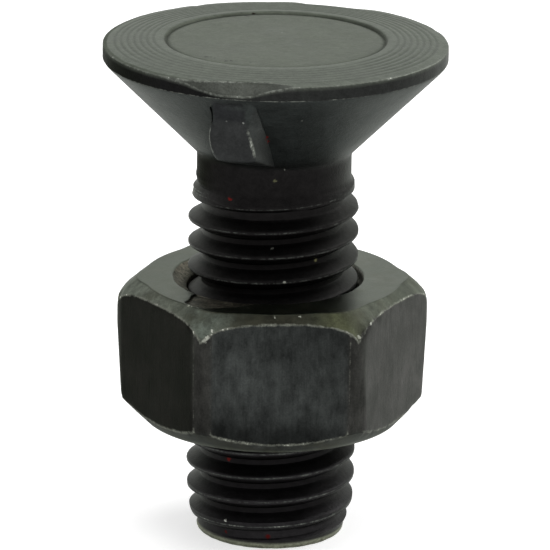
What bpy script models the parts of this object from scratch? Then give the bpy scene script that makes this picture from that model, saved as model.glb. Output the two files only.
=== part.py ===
"""Plow bolt with its hex nut: a flat countersunk head with one nib under it, a short neck and a rolled
M12 x 1.75 thread, standing on its thread end, with the nut turned about half way up the thread.

Metres, +Z up. The origin is the middle of the flat thread end, and the nib points along -Y.
"""

import math

import bmesh
import bpy
from mathutils import Matrix, Vector

MM = 0.001

# Bolt
BOLT_LENGTH = 35.0 * MM
HEAD_RADIUS = 11.78 * MM
LAND_HEIGHT = 1.0 * MM
HEAD_CROWN = 0.3 * MM
CROWN_RADIUS = 8.3 * MM
RECESS_RADIUS = 7.65 * MM
RECESS_DEPTH = 0.12 * MM
RECESS_WALL = 0.15 * MM
RIM_ROUND = 0.2 * MM
CONE_HALF_ANGLE = math.radians(45)
NECK_LENGTH = 1.6 * MM
NECK_FILLET = 0.8 * MM

# External thread
THREAD_RADIUS = 5.85 * MM
THREAD_PITCH = 1.75 * MM
THREAD_DEPTH = 0.93 * MM
CREST_WIDTH = 0.26 * MM
ROOT_WIDTH = 0.42 * MM
FIRST_CREST = 0.5 * MM
NECK_UNDERSIZE = 0.55 * MM
RUN_OUT_LENGTH = 2.4 * MM
POINT_UNDERSIZE = 0.8 * MM
POINT_LENGTH = 2.1 * MM
CORE_INSET = 0.2 * MM
SPARE_TURNS = 2

# Nib under the head, and the slanting facet that its forging left on the rim above it
NIB_WIDTH = 3.5 * MM
NIB_EDGE_ROUND = 0.35 * MM
NIB_RIM_SETBACK = 0.28 * MM
NIB_FACE_SETBACK = 0.9 * MM
NIB_FACE_TAPER = 0.65 * MM
NIB_SHOULDER = 1.2 * MM
NIB_FACE_HEIGHT = 3.5 * MM
NIB_FOOT_DROP = 0.1 * MM
NIB_DEPTH_IN_NECK = 2.65 * MM
NIB_DEPTH_IN_LAND = 0.17 * MM
FACET_INSET = 1.13 * MM
FACET_DROP = 0.78 * MM

# Hex nut
ACROSS_FLATS = 18.9 * MM
NUT_HEIGHT = 9.8 * MM
NUT_STAND = 8.35 * MM
NUT_TURN = math.radians(19.4)
CORNER_ROUND = 1.3 * MM
BORE_CLEARANCE = 0.2 * MM
MOUTH_WIDTH = 0.55 * MM
MOUTH_DEPTH = 0.55 * MM
CHAMFER_INSET = 0.55 * MM
TOP_CHAMFER_DROP = 1.9 * MM
FOOT_CHAMFER_RISE = 0.65 * MM
FOOT_CORNER_RISE = 1.27 * MM
FOOT_CORNER_TRIM = 0.28 * MM
FOOT_TAPER_HEIGHT = 5.0 * MM

# Facets and overlaps of the model
TURN_STEPS = 80
THREAD_STEPS = 48
ENVELOPE_STEPS = 60
FILLET_STEPS = 3
CORNER_STEPS = 3
NIB_EDGE_STEPS = 2
NIB_EDGE_ANGLE = math.radians(40)
SHARP_ANGLE = math.radians(35)
CUT_MARGIN = 2.0 * MM
ENVELOPE_OVERLAP = 0.32 * MM
ENVELOPE_BURIAL = 0.14 * MM
SEAM = 0.01 * MM
WELD = 0.001 * MM

# Finishes
BOLT_BLACK = (0.045, 0.047, 0.045)
BOLT_ROUGHNESS = 0.42
NUT_BLACK = (0.075, 0.077, 0.07)
NUT_ROUGHNESS = 0.45

# Heights and radii that follow from the sizes above
LAND_TOP = BOLT_LENGTH - HEAD_CROWN
LAND_BOTTOM = LAND_TOP - LAND_HEIGHT
NECK_RADIUS = THREAD_RADIUS - NECK_UNDERSIZE
NECK_TOP = LAND_BOTTOM - (HEAD_RADIUS - NECK_RADIUS) / math.tan(CONE_HALF_ANGLE)
NECK_BOTTOM = NECK_TOP - NECK_LENGTH
ROOT_RADIUS = THREAD_RADIUS - THREAD_DEPTH
CORE_RADIUS = ROOT_RADIUS - CORE_INSET
CORE_TOP = NECK_BOTTOM - RUN_OUT_LENGTH - THREAD_PITCH / 2
POINT_RADIUS = THREAD_RADIUS - POINT_UNDERSIZE
NUT_CORNER_RADIUS = ACROSS_FLATS / 2 / math.cos(math.pi / 6)


def clear_scene():
    for old in list(bpy.data.objects):
        bpy.data.objects.remove(old, do_unlink=True)


def new_collection(name):
    collection = bpy.data.collections.new(name)
    bpy.context.scene.collection.children.link(collection)
    return collection


def steel(name, colour, roughness):
    material = bpy.data.materials.new(name)
    material.use_nodes = True
    shader = material.node_tree.nodes["Principled BSDF"]
    shader.inputs["Base Color"].default_value = (*colour, 1.0)
    shader.inputs["Metallic"].default_value = 1.0
    shader.inputs["Roughness"].default_value = roughness
    return material


def hide(helper):
    """Keeps a cutter or a joined piece out of the finished model."""
    helper.hide_render = True
    helper.display_type = "WIRE"
    return helper


def profile_object(name, points, collection, closed=False):
    """A row of edges in the XZ plane, ready for a Screw modifier. The points are (radius, height)."""
    corners = [(radius, 0.0, height) for radius, height in points]
    edges = [(i, i + 1) for i in range(len(points) - 1)]
    if closed:
        edges.append((len(points) - 1, 0))
    mesh = bpy.data.meshes.new(name)
    mesh.from_pydata(corners, edges, [])
    piece = bpy.data.objects.new(name, mesh)
    collection.objects.link(piece)
    return piece


def turn(piece, steps=TURN_STEPS):
    """Spins a profile once round Z."""
    screw = piece.modifiers.new("Turning", "SCREW")
    screw.axis = "Z"
    screw.steps = steps
    screw.render_steps = steps
    screw.use_merge_vertices = True
    screw.merge_threshold = SEAM
    screw.use_smooth_shade = True
    return piece


def combine(piece, other, operation):
    boolean = piece.modifiers.new(other.name, "BOOLEAN")
    boolean.operation = operation
    boolean.solver = "EXACT"
    boolean.object = other


def evaluated_mesh(piece):
    graph = bpy.context.evaluated_depsgraph_get()
    return bpy.data.meshes.new_from_object(piece.evaluated_get(graph))


def flat_solid(name, outline, thickness, placing, collection):
    """A closed flat outline given a thickness across its plane, as a mesh that can be cut and joined."""
    curve = bpy.data.curves.new(name + "_outline", "CURVE")
    curve.dimensions = "2D"
    curve.fill_mode = "BOTH"
    curve.extrude = thickness / 2
    spline = curve.splines.new("POLY")
    spline.points.add(len(outline) - 1)
    for point, (x, y) in zip(spline.points, outline):
        point.co = (x, y, 0.0, 1.0)
    spline.use_cyclic_u = True
    drawn = bpy.data.objects.new(name + "_outline", curve)
    collection.objects.link(drawn)
    mesh = evaluated_mesh(drawn)
    bpy.data.objects.remove(drawn, do_unlink=True)
    solid = bmesh.new()
    solid.from_mesh(mesh)
    bmesh.ops.remove_doubles(solid, verts=solid.verts, dist=WELD)
    bmesh.ops.recalc_face_normals(solid, faces=solid.faces)
    solid.to_mesh(mesh)
    solid.free()
    piece = bpy.data.objects.new(name, mesh)
    piece.matrix_world = placing
    collection.objects.link(piece)
    return piece


def blank_profile():
    """Head, neck and core of the bolt in one turned outline, from the middle of the head down."""
    top = BOLT_LENGTH
    points = [
        (0.0, top - RECESS_DEPTH),
        (RECESS_RADIUS - RECESS_WALL, top - RECESS_DEPTH),
        (RECESS_RADIUS, top),
        (CROWN_RADIUS, top),
        (HEAD_RADIUS - RIM_ROUND, LAND_TOP),
        (HEAD_RADIUS, LAND_TOP - RIM_ROUND),
        (HEAD_RADIUS, LAND_BOTTOM),
    ]
    # The fillet touches the cone and the neck: its middle lies outside both by its radius
    reach = NECK_FILLET * math.tan(CONE_HALF_ANGLE / 2)
    middle_radius = NECK_RADIUS + NECK_FILLET
    middle_height = NECK_TOP - reach
    for step in range(FILLET_STEPS + 1):
        angle = CONE_HALF_ANGLE * (1 - step / FILLET_STEPS)
        points.append((
            middle_radius - NECK_FILLET * math.cos(angle),
            middle_height + NECK_FILLET * math.sin(angle),
        ))
    points += [
        (NECK_RADIUS, NECK_BOTTOM),
        (CORE_RADIUS, CORE_TOP),
        (CORE_RADIUS, POINT_LENGTH),
        (0.0, POINT_LENGTH),
    ]
    return points


def close_end(solid, edges, height):
    """Draws one open end of the thread together at a point on its axis."""
    made = bmesh.ops.extrude_edge_only(solid, edges=edges)
    tips = [item for item in made["geom"] if isinstance(item, bmesh.types.BMVert)]
    bmesh.ops.pointmerge(solid, verts=tips, merge_co=Vector((0.0, 0.0, height)))


def make_thread(collection):
    """One pitch of the thread's outline, wound up the bolt right-handed and closed at both ends."""
    turns = math.ceil((NECK_BOTTOM + FIRST_CREST) / THREAD_PITCH) + 2 * SPARE_TURNS
    crest = FIRST_CREST - SPARE_TURNS * THREAD_PITCH
    foot = crest - THREAD_PITCH / 2
    outline = [
        (ROOT_RADIUS, foot + THREAD_PITCH),
        (ROOT_RADIUS, foot + THREAD_PITCH - ROOT_WIDTH / 2),
        (THREAD_RADIUS, crest + CREST_WIDTH / 2),
        (THREAD_RADIUS, crest - CREST_WIDTH / 2),
        (ROOT_RADIUS, foot + ROOT_WIDTH / 2),
        (ROOT_RADIUS, foot),
    ]
    wound = profile_object("thread_outline", outline, collection)
    screw = wound.modifiers.new("Winding", "SCREW")
    screw.axis = "Z"
    screw.steps = THREAD_STEPS
    screw.render_steps = THREAD_STEPS
    screw.screw_offset = THREAD_PITCH
    screw.iterations = turns
    weld = wound.modifiers.new("Weld", "WELD")
    weld.merge_threshold = SEAM
    mesh = evaluated_mesh(wound)
    bpy.data.objects.remove(wound, do_unlink=True)

    solid = bmesh.new()
    solid.from_mesh(mesh)
    open_edges = [edge for edge in solid.edges if edge.is_boundary]
    middle = foot + turns * THREAD_PITCH / 2
    low = [edge for edge in open_edges if edge.verts[0].co.z < middle]
    high = [edge for edge in open_edges if edge.verts[0].co.z >= middle]
    close_end(solid, low, foot - CUT_MARGIN)
    close_end(solid, high, foot + (turns + 1) * THREAD_PITCH + CUT_MARGIN)
    bmesh.ops.recalc_face_normals(solid, faces=solid.faces)
    solid.to_mesh(mesh)
    solid.free()
    thread = bpy.data.objects.new("thread", mesh)
    collection.objects.link(thread)
    return hide(thread)


def make_thread_envelope(collection):
    """The turned blank that the thread is rolled on: a chamfered point, and a taper where it runs out."""
    outside = THREAD_RADIUS + CUT_MARGIN
    point_slope = POINT_UNDERSIZE / POINT_LENGTH
    fade_slope = NECK_UNDERSIZE / RUN_OUT_LENGTH
    fade_end = NECK_BOTTOM + ENVELOPE_OVERLAP
    outline = [
        (0.0, fade_end + ENVELOPE_BURIAL / fade_slope),
        (NECK_RADIUS - ENVELOPE_BURIAL, fade_end + ENVELOPE_BURIAL / fade_slope),
        (outside, fade_end - RUN_OUT_LENGTH - CUT_MARGIN / fade_slope),
        (outside, POINT_LENGTH + CUT_MARGIN / point_slope),
        (POINT_RADIUS, 0.0),
        (0.0, 0.0),
    ]
    return hide(turn(profile_object("thread_envelope", outline, collection), ENVELOPE_STEPS))


def make_nib(collection):
    """A wedge from the neck out to just inside the rim: shoulder under the rim, upright face, slanting foot."""
    neck_side = NECK_RADIUS - NIB_DEPTH_IN_NECK
    rim_side = HEAD_RADIUS - NIB_RIM_SETBACK
    face_top = HEAD_RADIUS - NIB_FACE_SETBACK
    face_bottom = face_top - NIB_FACE_TAPER
    outline = [
        (neck_side, NECK_TOP - NIB_FOOT_DROP),
        (NECK_RADIUS, NECK_TOP - NIB_FOOT_DROP),
        (face_bottom, LAND_BOTTOM - NIB_SHOULDER - NIB_FACE_HEIGHT),
        (face_top, LAND_BOTTOM - NIB_SHOULDER),
        (rim_side, LAND_BOTTOM),
        (rim_side, LAND_BOTTOM + NIB_DEPTH_IN_LAND),
        (neck_side, LAND_BOTTOM + NIB_DEPTH_IN_LAND),
    ]
    # Local X runs outwards along -Y, local Y runs up, and the thickness lies along X
    placing = Matrix(((0, 0, -1, 0), (-1, 0, 0, 0), (0, 1, 0, 0), (0, 0, 0, 1)))
    nib = flat_solid("nib", outline, NIB_WIDTH, placing, collection)
    rounding = nib.modifiers.new("Edges", "BEVEL")
    rounding.width = NIB_EDGE_ROUND
    rounding.segments = NIB_EDGE_STEPS
    rounding.limit_method = "ANGLE"
    rounding.angle_limit = NIB_EDGE_ANGLE
    return hide(nib)


def make_facet_cutter(collection):
    """A block whose flat underside slants down and outwards through the rim above the nib."""
    size = HEAD_RADIUS
    slope = math.atan2(FACET_DROP, FACET_INSET)
    mesh = bpy.data.meshes.new("facet_cutter")
    solid = bmesh.new()
    bmesh.ops.create_cube(solid, size=size)
    bmesh.ops.translate(solid, verts=solid.verts, vec=(0.0, 0.0, size / 2))
    solid.to_mesh(mesh)
    solid.free()
    cutter = bpy.data.objects.new("facet_cutter", mesh)
    outer_edge = Vector((0.0, -HEAD_RADIUS, LAND_TOP - FACET_DROP))
    cutter.matrix_world = Matrix.Translation(outer_edge) @ Matrix.Rotation(slope, 4, "X")
    collection.objects.link(cutter)
    return hide(cutter)


def make_bolt(parts, cutters):
    bolt = turn(profile_object("plow_bolt", blank_profile(), parts))
    thread = make_thread(cutters)
    combine(thread, make_thread_envelope(cutters), "INTERSECT")
    combine(bolt, thread, "UNION")
    combine(bolt, make_nib(cutters), "UNION")
    combine(bolt, make_facet_cutter(cutters), "DIFFERENCE")
    bolt.data.materials.append(steel("black_oxide_steel", BOLT_BLACK, BOLT_ROUGHNESS))
    return bolt


def nut_ring_profile():
    """The nut's turned outline: bore, both thread mouths, flat ends and the chamfers that trim its corners."""
    bore = THREAD_RADIUS + BORE_CLEARANCE
    mouth = bore + MOUTH_WIDTH
    end_face = ACROSS_FLATS / 2 - CHAMFER_INSET
    corner = NUT_CORNER_RADIUS - CORNER_ROUND * (1 / math.cos(math.pi / 6) - 1)
    foot_corner = corner - FOOT_CORNER_TRIM
    bottom = NUT_STAND
    top = NUT_STAND + NUT_HEIGHT
    top_slope = TOP_CHAMFER_DROP / (corner - end_face)
    return [
        (bore, top - MOUTH_DEPTH),
        (mouth, top),
        (end_face, top),
        (NUT_CORNER_RADIUS, top - top_slope * (NUT_CORNER_RADIUS - end_face)),
        (NUT_CORNER_RADIUS, bottom + FOOT_CORNER_RISE + FOOT_TAPER_HEIGHT),
        (foot_corner, bottom + FOOT_CORNER_RISE),
        (ACROSS_FLATS / 2, bottom + FOOT_CHAMFER_RISE),
        (end_face, bottom),
        (mouth, bottom),
        (bore, bottom + MOUTH_DEPTH),
    ]


def make_nut(parts, cutters):
    """A hex bar with rounded corners, trimmed by the turned ring that holds its bore and its chamfers."""
    mesh = bpy.data.meshes.new("hex_nut")
    solid = bmesh.new()
    bmesh.ops.create_cone(
        solid,
        cap_ends=True,
        segments=6,
        radius1=NUT_CORNER_RADIUS,
        radius2=NUT_CORNER_RADIUS,
        depth=NUT_HEIGHT + 2 * CUT_MARGIN,
    )
    upright = [
        edge for edge in solid.edges
        if abs(edge.verts[0].co.z - edge.verts[1].co.z) > CUT_MARGIN
    ]
    bmesh.ops.bevel(
        solid,
        geom=upright,
        offset=CORNER_ROUND * math.tan(math.pi / 6),
        segments=CORNER_STEPS,
        profile=0.5,
        affect="EDGES",
    )
    bmesh.ops.translate(solid, verts=solid.verts, vec=(0.0, 0.0, NUT_STAND + NUT_HEIGHT / 2))
    # The cone starts with a corner on +Y, so a twelfth of a turn brings a flat to -Y
    bmesh.ops.rotate(
        solid,
        verts=solid.verts,
        cent=(0.0, 0.0, 0.0),
        matrix=Matrix.Rotation(math.pi / 6 + NUT_TURN, 3, "Z"),
    )
    solid.to_mesh(mesh)
    solid.free()
    nut = bpy.data.objects.new("hex_nut", mesh)
    parts.objects.link(nut)
    ring = hide(turn(profile_object("nut_ring", nut_ring_profile(), cutters, closed=True)))
    combine(nut, ring, "INTERSECT")
    nut.data.materials.append(steel("oiled_dark_steel", NUT_BLACK, NUT_ROUGHNESS))
    return nut


clear_scene()
part_collection = new_collection("plow_bolt_with_nut")
cutter_collection = new_collection("cutters")
finished = [make_bolt(part_collection, cutter_collection), make_nut(part_collection, cutter_collection)]
for piece in finished:
    piece.data.shade_smooth()
    piece.data.set_sharp_from_angle(angle=SHARP_ANGLE)
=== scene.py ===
"""Plow bolt with its hex nut, dressed for a render: black oxide steel, standing on its thread end.

Sizes are in millimetres, and each mesh is given them in metres. +Z runs up the bolt's axis from the middle of
the thread end, and the nib under the head points along -Y. `turned` is an angle round the axis from the nib,
growing towards +X.
"""

import math

import bpy
import numpy as np
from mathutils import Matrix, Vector


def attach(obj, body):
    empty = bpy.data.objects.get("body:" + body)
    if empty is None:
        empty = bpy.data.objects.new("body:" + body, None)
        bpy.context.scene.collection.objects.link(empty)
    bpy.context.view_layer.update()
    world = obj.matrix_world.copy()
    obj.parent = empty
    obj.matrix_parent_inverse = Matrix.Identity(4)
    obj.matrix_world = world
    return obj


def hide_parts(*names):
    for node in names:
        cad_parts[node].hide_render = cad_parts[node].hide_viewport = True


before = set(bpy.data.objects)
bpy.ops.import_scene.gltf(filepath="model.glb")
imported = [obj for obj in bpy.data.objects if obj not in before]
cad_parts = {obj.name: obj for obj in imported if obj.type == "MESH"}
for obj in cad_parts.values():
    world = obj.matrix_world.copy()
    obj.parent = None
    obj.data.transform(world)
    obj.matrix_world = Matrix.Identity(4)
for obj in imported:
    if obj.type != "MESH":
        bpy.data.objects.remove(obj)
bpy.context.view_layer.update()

# The bolt blank. Carbon steel wire, cold headed in a die: a flat countersunk head with a shallow recess, and a
# short neck. The die's turning marks show as rings, and the trimming left a slanting facet on the rim.

MM = 0.001
BOLT_LENGTH = 35.0
HEAD_RADIUS = 11.78
LAND_TOP = 34.74
LAND_BOTTOM = 33.7
RIM_ROUND = 0.1
CROWN_START = 8.3
RECESS_RADIUS = 7.65
RECESS_FLOOR = 34.88
FLOOR_REACH = 7.0
RECESS_GROOVE = 7.42
RING_START = 8.1
RING_END = 11.18
RING_SPACING = 0.44
RING_STEP = 0.088
RING_DEPTH = 0.045
WORN_DIP_AT = math.radians(175)
WORN_DIP_WIDTH = 0.2
WORN_DIP_DEPTH = 0.13
CONE_TOP_RADIUS = 11.735
CONE_APEX = LAND_BOTTOM - HEAD_RADIUS
NECK_RADIUS = 5.3
NECK_FILLET = 0.8
NECK_TOP = LAND_BOTTOM - (HEAD_RADIUS - NECK_RADIUS)
HEAD_FOOT = 26.6
HEAD_STEPS = 440


def select_only(*pieces):
    """Selects these pieces and nothing else, and makes the last one active."""
    bpy.ops.object.select_all(action="DESELECT")
    for piece in pieces:
        piece.select_set(True)
    bpy.context.view_layer.objects.active = pieces[-1]


def start_edit(piece, select="DESELECT", mode="VERT"):
    """Opens a piece in edit mode, with all or none of it selected."""
    select_only(piece)
    bpy.ops.object.mode_set(mode="EDIT")
    bpy.ops.mesh.select_mode(type=mode)
    bpy.ops.mesh.select_all(action=select)


def end_edit():
    """Closes edit mode, and gives the piece back."""
    bpy.ops.object.mode_set(mode="OBJECT")
    return bpy.context.object


def draw_outline(name, points):
    """A turner's outline: one vertex extruded from point to point. The points are (radius, height)."""
    bpy.ops.object.select_all(action="DESELECT")
    bpy.ops.mesh.primitive_plane_add(size=MM)
    drawn = bpy.context.object
    drawn.name = name
    drawn.data.name = name
    start_edit(drawn, "SELECT")
    bpy.ops.mesh.merge(type="CENTER")
    bpy.ops.transform.translate(value=(points[0][0] * MM, 0.0, points[0][1] * MM))
    for (r0, z0), (r1, z1) in zip(points, points[1:]):
        bpy.ops.mesh.extrude_vertices_move(
            TRANSFORM_OT_translate={"value": ((r1 - r0) * MM, 0.0, (z1 - z0) * MM)}
        )
    return end_edit()


def apply_modifiers(piece):
    """Applies all of a piece's modifiers, from the first to the last."""
    select_only(piece)
    for modifier in list(piece.modifiers):
        bpy.ops.object.modifier_apply(modifier=modifier.name)


def turn(piece, steps, climb=0.0, turns=1):
    """Spins an outline round Z, or winds it up the axis by `climb` a turn."""
    screw = piece.modifiers.new("Turning", "SCREW")
    screw.axis = "Z"
    screw.steps = steps
    screw.render_steps = steps
    screw.screw_offset = climb * MM
    screw.iterations = turns
    screw.use_merge_vertices = climb == 0.0
    screw.merge_threshold = 0.001 * MM
    apply_modifiers(piece)
    start_edit(piece, "SELECT")
    bpy.ops.mesh.remove_doubles(threshold=0.002 * MM)
    bpy.ops.mesh.normals_make_consistent(inside=False)
    return end_edit()


def points_of(piece):
    """The vertices of a piece in mm, one row each."""
    found = np.empty(len(piece.data.vertices) * 3)
    piece.data.vertices.foreach_get("co", found)
    return found.reshape(-1, 3) / MM


def move_points(piece, points):
    """Puts the vertices of a piece at these places in mm."""
    piece.data.vertices.foreach_set("co", (points * MM).ravel())
    piece.data.update()


def around(points):
    """Each point's radius, its angle round the axis from the nib, and its height."""
    return np.hypot(points[:, 0], points[:, 1]), np.arctan2(points[:, 0], -points[:, 1]), points[:, 2].copy()


def turn_from(start, turned):
    """How far round the axis `turned` is from `start`, the short way."""
    return np.angle(np.exp(1j * (turned - start)))


def smooth_step(low, high, value):
    """0 up to `low` and 1 from `high` on, or the other way round if `high` is the lower."""
    t = np.clip((value - low) / (high - low), 0.0, 1.0)
    return t * t * (3 - 2 * t)


def bump_at(distance, width):
    """1 where the distance is none, dying away over a width."""
    return np.exp(-((distance / width) ** 2))


def waves(angle, counts, seed):
    """An uneven line round the axis, from -1 to 1, made of whole numbers of waves a turn."""
    draw = np.random.default_rng(seed)
    total = sum(draw.uniform(0.5, 1.0) * np.sin(n * angle + draw.uniform(0, 2 * math.pi)) for n in counts)
    return total / len(counts)


def dents(angle, how_many, width, seed):
    """Narrow dips at random places round the axis, each up to 1 deep."""
    draw = np.random.default_rng(seed)
    total = np.zeros_like(angle)
    for _ in range(how_many):
        off = turn_from(draw.uniform(-math.pi, math.pi), angle)
        size = width * draw.uniform(0.5, 1.6)
        total = np.maximum(total, draw.uniform(0.3, 1.0) * bump_at(off, size))
    return total


def crown_height(radius):
    """The head's top outside its recess, which falls a little towards the rim."""
    return np.interp(radius, [CROWN_START, HEAD_RADIUS - RIM_ROUND], [BOLT_LENGTH, LAND_TOP])


def ring_cut(radius):
    """The shape of the rings: 0 at their edges and 1 at their bottoms."""
    return (0.5 - 0.5 * np.cos(2 * np.pi * (radius - RING_START) / RING_SPACING)) ** 2


head_outline = [(0.0, RECESS_FLOOR)]
head_outline += [(float(r), RECESS_FLOOR) for r in np.arange(0.5, FLOOR_REACH, 0.5)]
head_outline += [(7.1, 34.875), (7.24, 34.855), (7.36, 34.82), (7.44, 34.82), (7.51, 34.87), (7.57, 34.94)]
head_outline += [(7.64, 34.985), (7.72, 35.0), (7.9, 35.0)]
head_outline += [(float(r), float(crown_height(r))) for r in np.arange(RING_START, 11.66, RING_STEP)]
for step in range(6):
    angle = math.radians(90 - 18 * step)
    head_outline.append((
        HEAD_RADIUS - RIM_ROUND * (1 - math.cos(angle)),
        LAND_TOP - RIM_ROUND * (1 - math.sin(angle)),
    ))
head_outline += [(HEAD_RADIUS, float(z)) for z in np.arange(34.4, 33.82, -0.11)]
head_outline += [(HEAD_RADIUS, 33.79), (11.765, 33.73), (CONE_TOP_RADIUS, 33.68)]
cone_foot = NECK_RADIUS + NECK_FILLET * (1 - math.cos(math.radians(45)))
for share in np.linspace(0.02, 1.0, 26):
    radius = CONE_TOP_RADIUS + (cone_foot - CONE_TOP_RADIUS) * share
    head_outline.append((radius, LAND_BOTTOM - (HEAD_RADIUS - radius)))
for angle in np.radians(np.arange(40, -1, -5)):
    head_outline.append((
        NECK_RADIUS + NECK_FILLET * (1 - math.cos(angle)),
        NECK_TOP - NECK_FILLET * math.tan(math.radians(22.5)) + NECK_FILLET * math.sin(angle),
    ))
head_outline.append((NECK_RADIUS, HEAD_FOOT))
bolt = turn(draw_outline("black_bolt", head_outline), HEAD_STEPS)

head = points_of(bolt)
radius, turned, _ = around(head)
on_top = head[:, 2] > LAND_TOP - RIM_ROUND - 0.01

# The rings are worn away in front, over the nib
ring_share = 0.07 + 0.93 * smooth_step(math.radians(38), math.radians(72), np.abs(turned - 0.1))
in_rings = on_top & (radius > RING_START) & (radius < RING_END)
head[:, 2] -= np.where(in_rings, RING_DEPTH * ring_cut(radius) * ring_share, 0.0)

# The facet: how far the rim drops, and where its upper edge lies, at angles from the nib
FACET_AT = np.radians([-24, -19.7, -15, -12.7, -10.5, -8.3, -6.2, -4.1, -1, 7, 9.5, 11.8, 13.7, 15.6, 18, 22])
FACET_DROP = [0, 0.09, 0.17, 0.30, 0.45, 0.54, 0.62, 0.70, 0.74, 0.72, 0.62, 0.47, 0.32, 0.24, 0.15, 0]
FACET_EDGE = [
    11.75, 11.7, 11.6, 11.54, 11.48, 11.42, 11.33, 11.23, 11.09, 10.92, 10.89, 10.87, 10.92, 11.0, 11.15, 11.5,
]


def facet_drop(turned):
    """The drop of the rim's outer edge at the facet, with its corners softened."""
    nearby = np.radians(np.linspace(-1.2, 1.2, 5))
    return sum(np.interp(turned + off, FACET_AT, FACET_DROP) for off in nearby) / len(nearby)


drop = facet_drop(turned)
facet_edge = np.interp(turned, FACET_AT, FACET_EDGE)
# The rest of the rim is uneven and nicked, with a worn dip at the back
uneven = 0.03 + 0.04 * waves(turned, (3, 4, 7, 11), 4) + 0.008 * waves(turned, (19, 31, 43), 5)
uneven += 0.05 * dents(turned, 9, 0.05, 6)
worn_dip = np.exp(-((turn_from(WORN_DIP_AT, turned) / WORN_DIP_WIDTH) ** 4))
uneven = np.clip(uneven + WORN_DIP_DEPTH * worn_dip, 0.0, None) * (1 - smooth_step(0.1, 0.6, drop))
near_rim = smooth_step(10.9, HEAD_RADIUS - 0.15, radius)
sunk = np.clip(drop * (radius - facet_edge) / (HEAD_RADIUS - facet_edge), 0.0, None)
under = np.clip((head[:, 2] - LAND_BOTTOM) / (LAND_TOP - RIM_ROUND - LAND_BOTTOM), 0.0, 1.0)
on_land = ~on_top & (radius > 11.7) & (head[:, 2] > LAND_BOTTOM)
head[:, 2] -= np.where(on_top, sunk + uneven * near_rim, 0.0)
head[:, 2] -= np.where(on_land, (drop + uneven) * under, 0.0)
# Handling has rubbed the rim's outer edge in, and chipped it
rubbed_in = 0.014 * (1 + waves(turned, (17, 29, 43, 61), 7)) * near_rim * (radius > 11.4)
rubbed_in += 0.035 * dents(turned, 16, 0.02, 8) * ((radius > 11.6) & on_top)
head[:, :2] *= ((radius - rubbed_in) / np.maximum(radius, 0.001))[:, None]

# The stamped floor of the recess isn't quite flat
swell = np.sin(head[:, 0] * 0.7 + 1) * np.sin(head[:, 1] * 0.9)
swell += 0.5 * np.sin(head[:, 0] * 1.9 + head[:, 1] * 1.4)
head[:, 2] += np.where(radius < FLOOR_REACH, 0.012 * swell * smooth_step(FLOOR_REACH, 5.5, radius), 0.0)
head[:, 2] = np.minimum(head[:, 2], BOLT_LENGTH)
move_points(bolt, head)

# The thread, M12 x 1.75 right-handed, is rolled on the shank between flat dies, so its crests and roots are
# rounded. Rolling stops short of the neck, so crest and groove both fade into it. The end is chamfered.
THREAD_TOP = 26.45
THREAD_RADIUS = 5.85
THREAD_PITCH = 1.75
THREAD_DEPTH = 0.93
ROOT_RADIUS = THREAD_RADIUS - THREAD_DEPTH
CREST_WIDTH = 0.26
FIRST_CREST = 0.5
THREAD_STEPS = 144
THREAD_TURNS = 18
POINT_RADIUS = 5.08
END_ROUND = 0.15
# From here up the crest fades. The limits are the furthest that it stands out, at heights up the bolt.
FADE_START = 23.2
CREST_LIMIT_AT = [0.0, 0.5, 1.4, 2.25, 3.1, 4.0, 5.0, FADE_START, 23.6, 24.2, 25.1, 25.5, 25.8]
CREST_LIMIT = [
    POINT_RADIUS, 5.16, 5.6, 5.74, 5.8, 5.83, THREAD_RADIUS, THREAD_RADIUS, 5.74, 5.56, 5.53, 5.36, NECK_RADIUS,
]


def thread_radius(from_crest):
    """The thread's radius at a height `from_crest` from the middle of a crest: 30 degree flanks, rounded."""
    nearby = np.linspace(-0.07, 0.07, 15)
    height = np.abs(np.asarray(from_crest)[..., None] + nearby)
    cut = np.clip((height - CREST_WIDTH / 2) * math.tan(math.radians(60)), 0.0, THREAD_DEPTH)
    return THREAD_RADIUS - cut.mean(axis=-1)


def above_crest(points):
    """How far each point lies above the nearest turn of the thread's crest."""
    angle = np.arctan2(points[:, 1], points[:, 0])
    turns = (points[:, 2] - FIRST_CREST) / THREAD_PITCH - angle / (2 * math.pi)
    return (turns - np.round(turns)) * THREAD_PITCH


def seam_rise(crest_at):
    """How far the rolled seam lies above the crest, at the crest's height."""
    return np.interp(crest_at, [24.1, 24.6], [0.2, 0.5])


half_rows = [0.03, 0.09, 0.15, 0.22, 0.31, 0.41, 0.52, 0.62, 0.7, 0.77, THREAD_PITCH / 2]
crest_rows = [-row for row in reversed(half_rows)] + half_rows
lowest_crest = FIRST_CREST - 2 * THREAD_PITCH
thread_outline = [(float(thread_radius(row)), lowest_crest + row) for row in crest_rows]
thread = turn(draw_outline("rolled_thread", thread_outline), THREAD_STEPS, THREAD_PITCH, THREAD_TURNS)

shank = points_of(thread)
before, _, height = around(shank)
angle = np.arctan2(shank[:, 1], shank[:, 0])
off_crest = above_crest(shank)
crest_limit = np.interp(height, CREST_LIMIT_AT, CREST_LIMIT)
root_limit = np.interp(height, [23.4, 24.2, 24.9, 25.15], [ROOT_RADIUS, 5.0, 5.12, NECK_RADIUS])
crest_at = height - off_crest
# Where it fades, the groove leans over and narrows
leaning = np.interp(crest_at, [23.4, 24.2, 24.6, 25.1], [0, 0.15, 0.1, -0.1])
groove = (THREAD_RADIUS - thread_radius(off_crest - leaning)) / THREAD_DEPTH
full = THREAD_RADIUS - THREAD_DEPTH * groove
narrow = groove + smooth_step(23.4, 24.2, crest_at) * (np.clip((groove - 0.4) / 0.4, 0.0, 1.0) - groove)
faded = crest_limit - (crest_limit - root_limit) * narrow
radius = np.where(height > FADE_START, faded, np.minimum(full, crest_limit))
# The chamfer at the end is pressed smooth, which fills the last groove
radius = np.maximum(radius, np.interp(height, [0.0, 1.1, 1.5], [POINT_RADIUS, 5.04, ROOT_RADIUS]))
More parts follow.
